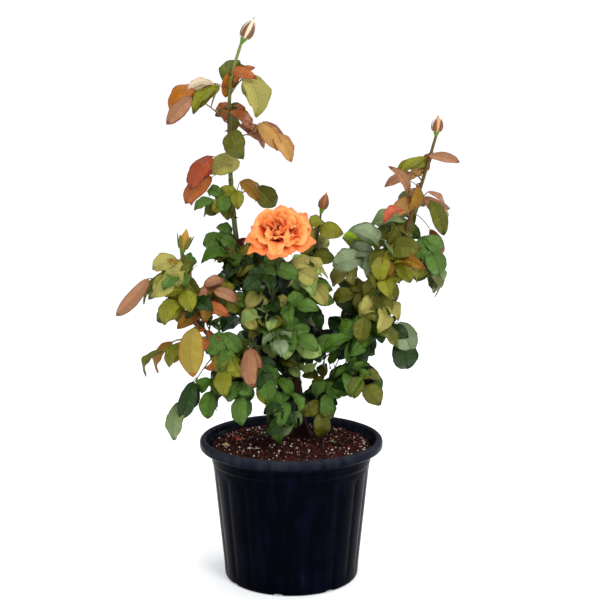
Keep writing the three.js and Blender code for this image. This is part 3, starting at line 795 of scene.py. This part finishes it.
def growMass(rng, region, name, count, length, hang, tints, ratio=None):
    # Sprays are set out in even steps along the longest direction of the mass, each a seeded
    # way off it, turn about to the front and the back. Most have a fellow behind them; low in
    # the bush most green ones take the near-black shade tint, painted shade where the bush's own shade
    # falls.
    corners = nodePoints(name)
    box = corners.min(axis=0), corners.max(axis=0)
    middle, half = (box[0] + box[1]) / 2, (box[1] - box[0]) / 2
    longest, roundness = longestWay(corners)
    longest = longest * (-1 if abs(longest[2]) > 0.7 else np.sign(longest[0]))
    reach = ((corners - middle) @ longest).max() * growth["reach"]
    grown = []
    for number, tint in enumerate(tints):
        place = (2 * number + 1) / len(tints) - 1
        spot = middle + longest * place * reach + unit(rng.normal(size=3)) * half * growth["stray"]
        spot[1] += half[1] * growth["depth"] * (-1) ** (number + 1)
        ahead, shape = longest * (1 - roundness), (count, length, hang, ratio)
        grown.append(growSpray(rng, region, tint, spot, ahead, shape, box))
        if region != "back" and rng.random() < growth["fellow"]:
            behind = spot + [0, growth["fellowGap"], 0]
            inside = region != "shoot" and middle[2] < growth["shadeBelow"] and tint in greenTints
            # the shade tint paints shade: a near-black leaf where the bush's own shade falls
            dark = "shade" if inside and rng.random() < growth["dark"] else tint
            shape = count, growth["fellowSize"] * length, hang, ratio
            grown.append(growSpray(rng, region, dark, behind, ahead, shape, box))
    if count == 1:  # leaflets of one leaf, so they share its stalk
        grown = [(grown[0][0], [foot for root, feet in grown for foot in feet])]
    for root, feet in grown:
        layStalks(root, feet)


def growAlong(rng, region, name, low, high, tints):
    # sprays leave a cane at even steps of its height, each turned by the golden angle from
    # the one below, so that they stand on all sides of it
    line, whole = caneLines[name], np.array(cadBox) / mm
    shape = 3, growth["leafAlong"], growth["hangAlong"], None
    for number, height in enumerate(np.arange(low, high, growth["step"])):
        start = line[np.abs(line[:, 2] - height).argmin()]
        turn = number * growth["golden"] + rng.normal(0, growth["turns"])
        away = flatWay(turn)
        tint = tints[number % len(tints)]
        spot = start + away * growth["off"] * rng.uniform(*growth["offs"])
        layStalks(*growSpray(rng, region, tint, spot, away, shape, whole))


def makeLeaves(region, young):
    # All of a piece's leaflets at once: point = line(u) + v * half width(u) * side + lift * face.
    # The line is straight from foot to tip, arched towards the face; the width is an egg
    # shape, u^0.52 * (1 - u)^0.73, its margin toothed; the halves lift from the midrib in a
    # shallow V, and the margin waves.
    own = [row for row in leaflets if row[0] == region and (row[1] in youngTints) == young]
    if not own:
        return None
    rng = np.random.default_rng(leaf["seed"] + len(own))
    count, rows, v = len(own), leaf["rows"], np.array(leaf["cuts"])
    each, eachPoint = (count, 1, 1), (count, 1, 1, 1)
    width = np.array([row[2] for row in own])[:, None, None]
    foot, tip, face = (np.array([row[n] for row in own])[:, None, None] for n in (3, 4, 5))
    length = np.linalg.norm(tip - foot, axis=-1)
    along = (tip - foot) / length[..., None]
    edgeOn = (rng.random(eachPoint) < leaf["edgeOn"][int(young)]) * leaf["edgeRoll"]
    roll = np.radians(rng.normal(0, leaf["roll"], eachPoint) + edgeOn * rng.choice([-1, 1], eachPoint))
    side = np.cross(along, face)
    side, face = side * np.cos(roll) + face * np.sin(roll), face * np.cos(roll) - side * np.sin(roll)
    even = np.linspace(0, 1, rows)
    u = (0.5 * even + 0.25 - 0.25 * np.cos(np.pi * even))[None, :, None]
    half = width / 2 * np.maximum(2.37 * u ** 0.52 * (1 - u) ** 0.73, 0.015)
    tooth = leaf["teeth"] * (-1.0) ** np.arange(rows)[None, :, None]
    tooth = tooth * (np.abs(v) == 1) * (u > 0.05) * (u < 0.97)
    arch = rng.uniform(*leaf["arch"], each) + leaf["archMore"] * np.clip(1 - np.abs(face[..., 1]), 0, 1)
    fold = rng.uniform(*leaf["folds"], each) * leaf["fold"]
    ripple = np.sin(2 * np.pi * (2.3 * u + rng.uniform(0, 1, each)) + v) * v ** 2 * leaf["wave"] * width
    lift = arch * length * 4 * u * (1 - u) * (1 + 0 * v) + fold * np.abs(v) * half + ripple
    lift = lift - rng.uniform(*leaf["droop"], each) * length * u ** 3
    forward = u + leaf["slant"] * np.abs(v) * 4 * u * (1 - u) ** 1.5
    points = foot + along * (length * forward)[..., None] + side * (half * v * (1 + tooth))[..., None]
    points = points + face * lift[..., None]
    loops = gridLoops((v + 1) / 2, u[0, :, 0])
    order = sorted({row[1] for row in own})
    materials = [m for tint in order for m in tintMaterials(tint)]
    # shades by place on the leaflet: one half, the other half in painted shade, a painted sheen on
    # every third row of the first half, for ridges between side veins, the margin all round, and the midrib
    # up to near the tip
    i, j = np.arange(rows - 1)[None, :, None], np.arange(len(v) - 1)[None, None, :]
    rib = len(v) // 2 - 1
    part = (rng.choice([-1, 1], each) * (j - rib) > 0) + 0 * i
    part = np.where((part == 0) & (i % 3 == 0), 2, part)
    part = np.where((j == 0) | (j == len(v) - 2) | (i > rows - 4), 3, part)
    part = np.where((j == rib) & (i < rows - 4), 4, part)
    deal = np.array([order.index(row[1]) for row in own])[:, None, None] * 5 + part
    name = f"leaves_{region}_{'young' if young else 'green'}"
    return addMesh(name, "young_leaf" if young else "leaf", points,
                   gridFaces(rows, len(v), copies=count), materials,
                   {"leaf": np.tile(loops, (count, 1)), "OFBake": sheetLoops(loops, count)}, deal,
                   weld=False)


def makeStalks():
    # tubes along all stalk paths, tapered evenly, red-brown high up and green below
    for name, slot, colour, high in (("stalks_red", "young_leaf", "#6b4a2a", True),
                                     ("stalks_green", "leaf", "#5c6a2c", False)):
        material = grainyMaterial(f"rose leaf stalk {slot}", colour, 0.5, 1.42, 0.4, 2, 0.4, 0.2)
        grids = [tubeGrid(path, np.linspace(first, last, len(path)), 6)
                 for path, first, last in stalks if (path[0][2] >= growth["redFrom"]) == high]
        parts = [(grid, gridFaces(len(grid), 6, ring=True)) for grid in grids]
        addMesh(name, slot, *joinParts(parts), [material])


rng = np.random.default_rng(growth["seed"])
for region, group in masses.items():
    for name, (count, length, hang, palette, *narrow) in group.items():
        growMass(rng, region, name, count, length, hang, palette.split(), *narrow)
for name, (region, low, high, palette) in along.items():
    growAlong(rng, region, name, low, high, palette.split())
for region in masses:
    pieces = [makeLeaves(region, young) for young in (True, False)]
    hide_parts(*masses[region])
makeStalks()
print("leaves made:", len(leaflets), "leaflets,", len(stalks), "stalks")

# The bloom faces forward and up. Petals are set out on its disc: across to the right, up
# the disc away from the front, and height along its axis.
bloom = {
    "at": np.mean(boxOf("bloom"), axis=0) + [-3, -3, 1], "nod": 38, "base": -13,  # mm, degrees, mm
    "rows": 14, "columns": 11, "seed": 3,
    # angle round the disc, reach and height of the tip, width, how pointed
    "guard": [(196, 43, -2, 32, 0.36), (213, 46, -10, 26, 0.4), (252, 36, -12, 36, 0.34),
              (296, 31, -9, 46, 0.16), (343, 44, -5, 32, 0.36), (12, 37, 2, 34, 0.2),
              (38, 39, 6, 32, 0.3), (65, 34, 8, 32, 0.2), (90, 37, 8, 30, 0.34),
              (131, 33, 6, 34, 0.26), (166, 34, 3, 34, 0.24)],
    "inner": [(225, 27, 6, 42, 0.12), (300, 25, 5, 42, 0.1), (350, 31, 8, 36, 0.16), (35, 30, 12, 34, 0.16),
              (80, 25, 15, 32, 0.2), (125, 27, 13, 34, 0.16), (170, 29, 9, 36, 0.16), (262, 15, 8, 30, 0.1),
              (60, 13, 14, 26, 0.1), (200, 14, 11, 26, 0.1), (330, 12, 11, 24, 0.1)],
    # centre of each heart on the disc, then how many petals and their distance, height and width
    "hearts": [((-11, 4), [(3, 3, 13, 15), (4, 8, 13, 22)]), ((12, -6), [(3, 4, 10, 18), (3, 9, 9, 24)]),
               ((3, 10), [(3, 5, 13, 18)]), ((0, -7), [(3, 5, 8, 18)])],
    "cup": [(2.4, -30), (2.8, -24), (5.6, -19), (7.6, -15), (8.8, -12), (7, -9)], "cupColour": "#56702a",
    # how many sepals, their reach, width and droop, and the radius and height of their feet
    "sepals": (5, 24, 7, -6), "sepalFoot": (6, -15),
    # from the foot of a petal to its rim, as (place, hex); the deep red at the foot is partly painted shade
    "guardColours": [(0.0, "#d82000"), (0.34, "#f24a12"), (0.62, "#f66e2a"), (0.88, "#f69656"),
                     (1.0, "#f27a4c")],
    "innerColours": [(0.0, "#d42a04"), (0.36, "#f04c14"), (0.62, "#f77c32"), (0.88, "#fab064"),
                     (1.0, "#f6945a")],
    "heartColours": [(0.0, "#dc3206"), (0.42, "#f25a1c"), (0.74, "#f98a40"), (1.0, "#fba862")],
    "vein": 1.6, "cloud": 9,  # mm between the fine veins of a petal, and across a cloud of its colour
}


def petalMaterial(name, colours):
    # Rose petal, living: velvety, so it keeps its colour at every angle with hardly a
    # shine. Deep red-orange at the foot, the petal's own deeper base darkened further by painted
    # shade of the bloom's depths, grows to peach towards the rim.
    material, tree, shader, place = newMaterial(name, colours[2][1], 0.6, 1.4, 0.2)
    sheet = addNode(tree, "UVMap", uv_map="petal")
    reach = addNode(tree, "SeparateXYZ", {0: sheet}).outputs["Y"]
    cloud = addNode(tree, "TexNoise", {"Vector": place, "Scale": 1 / (bloom["cloud"] * mm)})
    shift = addNode(tree, "MapRange", {"Value": cloud, 1: 0.3, 2: 0.7, 3: -0.12, 4: 0.12})
    along = addNode(tree, "Math", {0: reach, 1: shift}, operation="ADD")
    colour = addNode(tree, "ValToRGB", {"Fac": along}, stops=colours)
    fan = addNode(tree, "Mapping", {"Vector": sheet, "Scale": (30 / bloom["vein"], 1.2, 1)})
    veins = addNode(tree, "TexNoise", {"Vector": fan, "Scale": 1.0, "Detail": 2.0})
    bump = addNode(tree, "Bump", {"Strength": 0.35, "Distance": 0.4 * mm, "Height": veins})
    setInputs(shader, {"Base Color": colour, "Normal": bump, "Sheen Weight": 0.15})
    return material


def petalGrid(rng, foot, tip, width, rise, turn, roll, point):
    # Petals (n): a centre line, quadratic from foot to tip through a raised middle; across
    # it the sheet cups inwards low down, by v^2, and rolls back at the rim, by |v|^3 and u^7.
    rows, columns = bloom["rows"], bloom["columns"]
    u = np.linspace(0, 1, rows)[None, :, None]
    v = np.linspace(-1, 1, columns)[None, None, :]
    foot, tip, rise, turn, width, roll, point = (
        np.asarray(x, float) for x in (foot, tip, rise, turn, width, roll, point))
    knee = foot + (tip - foot) * [0.55, 0.55, 0.2] + np.stack([0 * rise, 0 * rise, rise], -1)
    foot, tip, knee = (x[:, None, None] for x in (foot, tip, knee))
    width, roll, point = width[:, None, None], roll[:, None, None], point[:, None, None]
    reach = (u * (1 - point * np.abs(v) ** (1.9 - 1.5 * point)))[..., None]
    line = (1 - reach) ** 2 * foot + 2 * reach * (1 - reach) * knee + reach ** 2 * tip
    slope = unit(2 * (1 - reach) * (knee - foot) + 2 * reach * (tip - knee))
    across = np.stack([-np.sin(turn), np.cos(turn), 0 * turn], -1)[:, None, None]
    over = np.cross(slope, across)
    shape = 0.2 + 0.8 * np.sin(np.pi / 2 * np.minimum(u / 0.62, 1)) ** 1.1
    half = width / 2 * shape * (1 - 0.42 * np.clip((u - 0.7) / 0.3, 0, 1) ** 2)
    phase = rng.uniform(0, 2 * np.pi, width.shape)
    cupped = 0.5 * half * v ** 2 * (1 - 1.5 * u)
    rolled = roll * half * (np.abs(v) ** 3 * u ** 2 * 0.55 + u ** 7 * 0.4)
    waved = 0.07 * width * np.sin(4.3 * v + phase) * u ** 2 + 0.03 * width * np.sin(9 * v - phase) * u ** 5
    lift = cupped - rolled + waved
    return line + across * (half * v)[..., None] + over * lift[..., None]


def turnBloom(points):
    # from the bloom's own axes to the bush's: nodded towards the front and set in its place
    nod = math.radians(bloom["nod"])
    x, y, z = points[..., 0], points[..., 1], points[..., 2]
    turned = [x, y * math.cos(nod) - z * math.sin(nod), y * math.sin(nod) + z * math.cos(nod)]
    return np.stack(turned, -1) + bloom["at"]


def makeBloom():
    # Petals in whorls: outer ones stand where the bloom's rows say, and each heart has
    # rings of petals in even steps round its own centre.
    rng = np.random.default_rng(bloom["seed"])
    deep = bloom["base"]
    petals = []  # foot, tip, width, rise, angle, roll, how pointed, and kind of each petal
    for kind, ring, start, rise, roll in ((0, "guard", 7, 13, 1.0), (1, "inner", 6, 12, 0.8)):
        for angle, reach, height, width, point in bloom[ring]:
            a = math.radians(angle)
            way = flatWay(a)
            foot, tip = way * start + [0, 0, deep], way * reach + [0, 0, height]
            petals.append((foot, tip, width, rise + rng.normal(0, 1), a, roll, point, kind))
    for (cx, cy), whorls in bloom["hearts"]:
        heart = np.array([cx, cy, 0])
        for number, (count, far, height, width) in enumerate(whorls):
            for k in range(count):
                a = 2 * math.pi * (k / count) + number * 0.7 + rng.normal(0, 0.15)
                way = flatWay(a)
                foot = heart * 0.55 + way * far * 0.35 + [0, 0, deep + 3]
                tip = heart + way * far + [0, 0, height + rng.normal(0, 1)]
                petals.append((foot, tip, width, 3, a, 0.7, 0.12, 2))
    *shapes, kind = (list(column) for column in zip(*petals))
    rows, columns = bloom["rows"], bloom["columns"]
    materials = [petalMaterial(f"rose petal {name}", bloom[f"{name}Colours"])
                 for name in ("guard", "inner", "heart")]
    loops = gridLoops(np.linspace(0, 1, columns), np.linspace(0, 1, rows))
    piece = addMesh("bloom_petals", "petal", turnBloom(petalGrid(rng, *shapes)),
                    gridFaces(rows, columns, copies=len(kind)), materials,
                    {"petal": np.tile(loops, (len(kind), 1)), "OFBake": sheetLoops(loops, len(kind))},
                    np.repeat(kind, (rows - 1) * (columns - 1)), weld=False)
    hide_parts("bloom")
    # the cup under the petals is rings round the axis, and sepals are petals that hang
    sides = 24
    a = ringAngles(sides)
    ring = np.array([(0, bloom["cup"][0][1]), *bloom["cup"], (0, bloom["cup"][-1][1])])[:, None]
    cup = np.stack([ring[..., 0] * np.cos(a), ring[..., 0] * np.sin(a), ring[..., 1] + 0 * a], -1)
    count, reach, width, droop = bloom["sepals"]
    start, low = bloom["sepalFoot"]
    turn = ringAngles(count) + 0.3
    way = flatWay(turn)
    even = np.ones(count)
    sepals = petalGrid(rng, way * start + [0, 0, low], way * reach + [0, 0, low + droop],
                       width * even, 0 * even, turn, 0.5 * even, 0.5 * even)
    points, faces = joinParts([(cup, gridFaces(len(ring), sides, ring=True)),
                               (sepals, gridFaces(rows, columns, copies=count))])
    addMesh("bloom_cup", "bud", turnBloom(points), faces,
            [skinMaterial("rose cup, green", bloom["cupColour"], 0.5)])


makeBloom()
print("bloom made")

buds = {
    # cane, width, how far its sepals spread (mm), petal colour
    "bud_left": ("cane_left", 14, 1.5, "#f0dcc0"), "bud_right": ("cane_right", 12, 2.5, "#d9a574"),
    "bud_centre": ("shoot_centre", 11, 0.5, "#a8622c"), "bud_low_left": ("shoot_left", 12, 9, "#b8892c"),
}
budLook = {
    "sides": 20, "cupShare": 0.3, "sepalShare": 0.95,  # of the bud's length, and of its length above the cup
    "turn": 2.4, "wrap": 1.35, "twist": 0.7,  # radians between petals, half round one, and up it
    "sepalWidth": 0.4, "sepalGap": 0.7,  # radians half across its foot, mm off the petals
    "cup": "#62861a", "sepal": "#7a5236", "greenSepal": "#6a7028",
}


def budRadius(u, width):
    # the bud's outline: a pointed egg, widest a third of the way up
    return width / 2 * np.sin(np.pi * (0.2 + 0.8 * u) ** 0.85) ** 0.9


def makeBud(name, cane, width, spread, petalColour):
    # All parts are rings or strips round the bud's axis: point = foot + axis * height +
    # radius * (cos a, sin a). Petals wrap it with a twist, the cup swells below them, and
    # sepals run up the outside, further off by spread times the square of the way.
    foot, corners = caneLines[cane][-1], nodePoints(name)
    tip = corners[corners[:, 2].argmax()]
    length = np.linalg.norm(tip - foot)
    axis = (tip - foot) / length
    first = square(np.array([1.0, 0, 0]), axis)
    second = np.cross(axis, first)

    def around(radius, angle, height):
        flat = np.cos(angle)[..., None] * first + np.sin(angle)[..., None] * second
        return foot + axis * height[..., None] + radius[..., None] * flat
    cup = length * budLook["cupShare"]
    u = np.linspace(0, 1, 14)[:, None]
    v = np.linspace(-1, 1, 9)[None]
    k = np.arange(5)[:, None, None]
    radius = budRadius(u, width) * (0.93 + 0.02 * k) + 0.35 * v * (1 - u)
    angle = k * budLook["turn"] + v * budLook["wrap"] + budLook["twist"] * u
    petals = around(radius, angle, cup * 0.8 + (length - cup * 0.8) * u + 0 * angle)
    h = np.linspace(0, 1, 12)[:, None]
    hip = 1.9 + (width * 0.3 - 1.9) * np.sin(np.pi / 2 * np.clip(h * 1.25, 0, 1)) ** 2
    hip[0], hip[-1] = 0, 0
    sides = budLook["sides"]
    a = ringAngles(sides)[None]
    cupGrid = around(hip + 0 * a, a + 0 * h, cup * (h * 1.1 - 0.05) + 0 * a)
    w = np.linspace(-1, 1, 5)[None]
    long = (length - cup) * budLook["sepalShare"] * (1 + 0.25 * (k == 1))
    reach = budRadius(np.clip(u * 0.95, 0, 1), width) + budLook["sepalGap"]
    reach = reach + spread * u ** 2 + 0.25 * (1 - w ** 2)
    narrow = budLook["sepalWidth"] * (1 - u) ** 0.7 + 0.05
    height = cup * 0.85 + long * u - spread * 0.5 * u ** 3 + 0 * w
    sepals = around(reach + 0 * k, k * 2 * np.pi / 5 + w * narrow + 0.4, height)
    parts = [(petals, gridFaces(14, 9, copies=5)), (cupGrid, gridFaces(12, sides, ring=True)),
             (sepals, gridFaces(14, 5, copies=5))]
    deal = np.repeat([0, 1, 2], [len(faces) for grid, faces in parts])
    sepalColour = budLook["greenSepal"] if spread > 5 else budLook["sepal"]
    materials = [skinMaterial("rose bud petals", petalColour, 0.55),
                 skinMaterial("rose bud cup", budLook["cup"], 0.5),
                 skinMaterial("rose sepal", sepalColour, 0.6)]
    piece = addMesh(f"{name}_closed", "bud", *joinParts(parts), materials, deal=deal)
    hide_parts(name)


for name, plan in buds.items():
    makeBud(name, *plan)
print("buds made")

stage = {
    "floor": "#f4f6f8", "floorSize": 60000, "patch": 40,  # mm, and mm across a patch of the floor's sheen
    "sky": 0.3, "backdrop": 1.0,  # how bright the sky is as a light, and behind everything
    # name: place (mm), size (mm), watts
    "lights": {"key": ((900, -1700, 1700), 900, 26), "fill": ((-1500, -900, 900), 1000, 5),
               "rim": ((1300, 900, 1100), 800, 8)},
    "aim": (0, 0, 300),  # the point that these lights face
    "sun": 1.6, "sunWidth": 50, "glow": 0.32,  # overhead light, its width in degrees, the floor's own light
    "camera": (0, -1500, 584), "down": 9.35, "right": 0.40, "lens": 77.08,  # mm, degrees turned, mm
}


def makeStage():
    scene = bpy.context.scene
    scene.view_settings.view_transform = "Standard"
    white = (1, 1, 1, 1)
    material, tree, shader, place = newMaterial("matt white floor paint", stage["floor"], 0.85, 1.45, 0.2)
    noise = addNode(tree, "TexNoise", {"Vector": place, "Scale": 1 / (stage["patch"] * mm)})
    rough = addNode(tree, "MapRange", {"Value": noise, 3: 0.8, 4: 0.95})
    setInputs(shader, {"Roughness": rough, "Emission Color": white, "Emission Strength": stage["glow"]})
    half = stage["floorSize"] / 2 * mm
    corners = [(-half, -half, 0), (half, -half, 0), (half, half, 0), (-half, half, 0)]
    mesh = bpy.data.meshes.new("floor")
    mesh.from_pydata(corners, [], [(0, 1, 2, 3)])
    mesh.materials.append(material)

    floor = addThing("floor", mesh)
    world = bpy.data.worlds.new("studio")
    world.use_nodes = True
    scene.world = world
    tree = world.node_tree
    seen = addNode(tree, "LightPath").outputs["Is Camera Ray"]
    strength = addNode(tree, "MapRange", {"Value": seen, 3: stage["sky"], 4: stage["backdrop"]})
    setInputs(tree.nodes["Background"], {"Color": white, "Strength": strength})
    sun = bpy.data.lights.new("overhead", "SUN")
    sun.energy, sun.angle = stage["sun"], math.radians(stage["sunWidth"])
    addThing("overhead", sun)
    for name, (spot, size, watts) in stage["lights"].items():
        lamp = bpy.data.lights.new(name, "AREA")
        lamp.shape, lamp.size, lamp.energy = "DISK", size * mm, watts
        holder = addThing(name, lamp)
        holder.location = np.array(spot) * mm
        dx, dy, dz = np.array(stage["aim"]) - spot
        holder.rotation_euler = (math.atan2(math.hypot(dx, dy), -dz), 0, math.atan2(dy, dx) - math.pi / 2)
    camera = bpy.data.cameras.new("front")
    camera.lens, camera.sensor_width, camera.clip_start = stage["lens"], 36, 0.05
    view = addThing("front", camera)
    view.location = np.array(stage["camera"]) * mm
    view.rotation_euler = (math.radians(90 - stage["down"]), 0, math.radians(-stage["right"]))
    scene.camera = view


makeStage()
print("stage made")
